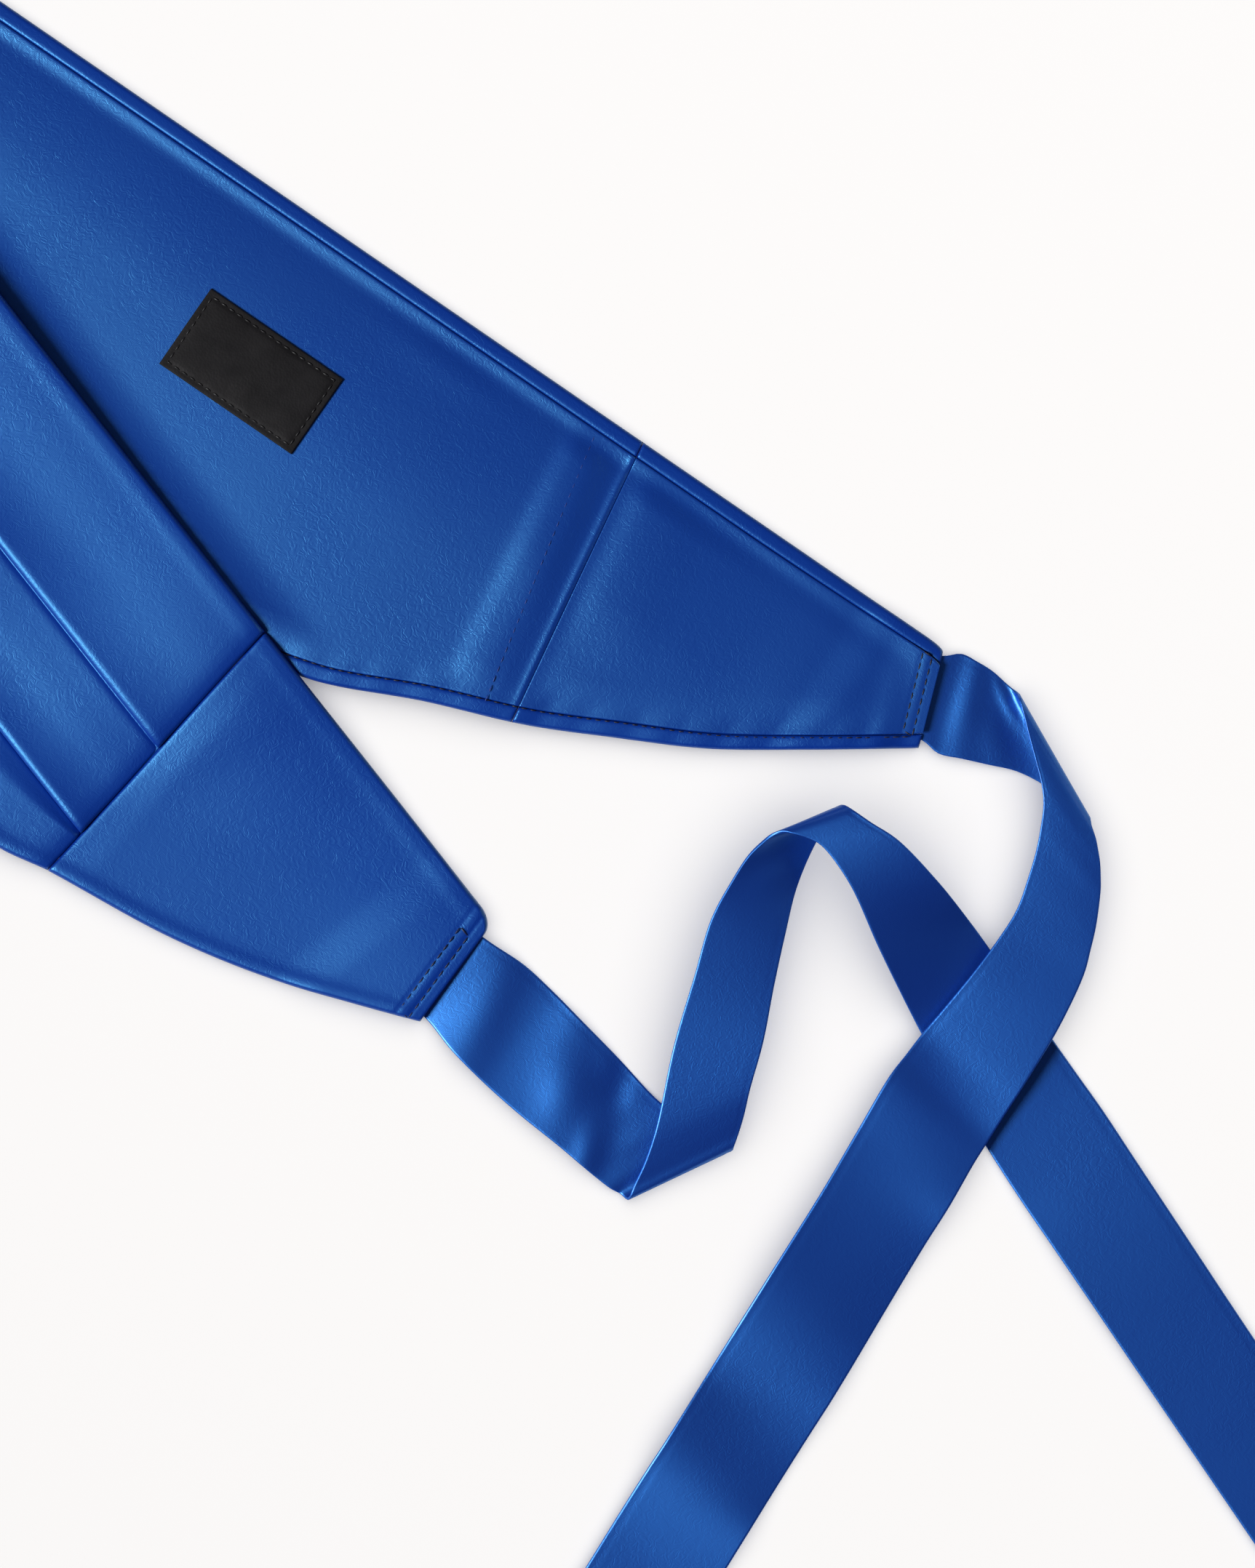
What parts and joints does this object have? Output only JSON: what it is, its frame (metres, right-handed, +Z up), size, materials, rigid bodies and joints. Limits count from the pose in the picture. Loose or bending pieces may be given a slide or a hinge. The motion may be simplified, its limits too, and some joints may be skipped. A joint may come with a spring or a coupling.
{
  "type": "cummerbund",
  "caption": "Tie-on satin cummerbund, lengthwise pleats in front, lined, with tapered side panels and ribbon ties, folded over once and laid flat",
  "frame": {"origin": "The point on the floor under the first pleat, the one along the straight edge, of the half that lies face down, level with the middle of the label.", "axes": "X runs right and Y runs up the table as seen from above with the ties at the lower right; Z is up from the floor."},
  "size_m": [0.7043, 0.7846, 0.0222],
  "materials": {
    "satin": "mid-sheen royal blue satin",
    "lining_satin": "mid-sheen royal blue satin lining",
    "tie_satin": "mid-sheen royal blue satin, folded double",
    "label_patch": "matt black grained imitation leather"
  },
  "bodies": {
    "root": {"front_center": "satin", "front_side_a": "satin", "front_side_b": "satin", "lining_center": "lining_satin", "lining_side_a": "lining_satin", "lining_side_b": "lining_satin", "tie_a": "tie_satin", "tie_b": "tie_satin", "label": "label_patch"}
  },
  "joints": []
}
